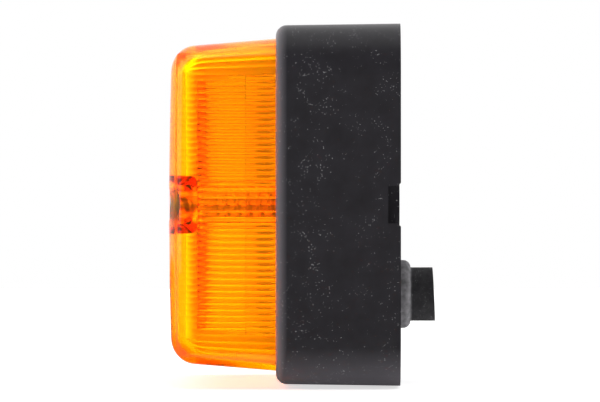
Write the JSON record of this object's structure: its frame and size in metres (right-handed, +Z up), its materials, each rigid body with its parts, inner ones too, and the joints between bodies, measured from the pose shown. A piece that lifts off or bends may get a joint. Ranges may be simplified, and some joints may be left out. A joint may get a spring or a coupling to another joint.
{
  "type": "side marker lamp",
  "caption": "Rectangular vehicle side marker lamp: drafted amber lens, fluted inside, screwed to a black moulded housing with a rubber cable grommet behind and a bayonet bulb inside.",
  "frame": {"origin": "centre of the mounting plane, midway between the two fixing holes", "axes": "+X along the length, +Y out of the back into the vehicle's panel (the lens faces -Y), +Z up"},
  "size_m": [0.104, 0.0449, 0.06],
  "materials": {
    "black_plastic": "fine satin grain, dusty",
    "amber_lens": "clear amber acrylic, polished outside and fluted inside",
    "seal_rubber": "matt",
    "grommet_rubber": "matt, dusty on its flange",
    "zinc_steel": "zinc plated",
    "tinplate": "bright tinned sheet",
    "brass": "pressed, lightly dulled",
    "fibre": "matt vulcanised fibre",
    "bulb_glass": "clear blown glass",
    "nickel": "nickel plated",
    "black_glass": "black vitreous insulator",
    "solder": "dull solder",
    "tungsten": "drawn wire"
  },
  "bodies": {
    "root": {"housing": "black_plastic", "lens": "amber_lens", "lens_gasket": "seal_rubber", "lens_screw_left": "zinc_steel", "lens_screw_right": "zinc_steel", "screw_washer_left": "seal_rubber", "screw_washer_right": "seal_rubber", "cable_grommet": "grommet_rubber", "reflector_plate": "tinplate", "plate_screw_upper": "zinc_steel", "plate_screw_lower": "zinc_steel", "holder_sleeve": "tinplate", "holder_insulator": "fibre", "contact_leaf": "brass", "leaf_rivet": "brass", "holder_rivet_lower": "zinc_steel", "holder_rivet_upper": "zinc_steel", "bulb_glass": "bulb_glass", "bulb_cap": "nickel", "bulb_cap_insulator": "black_glass", "bulb_cap_contact": "solder", "bulb_filament": "tungsten"}
  },
  "joints": []
}
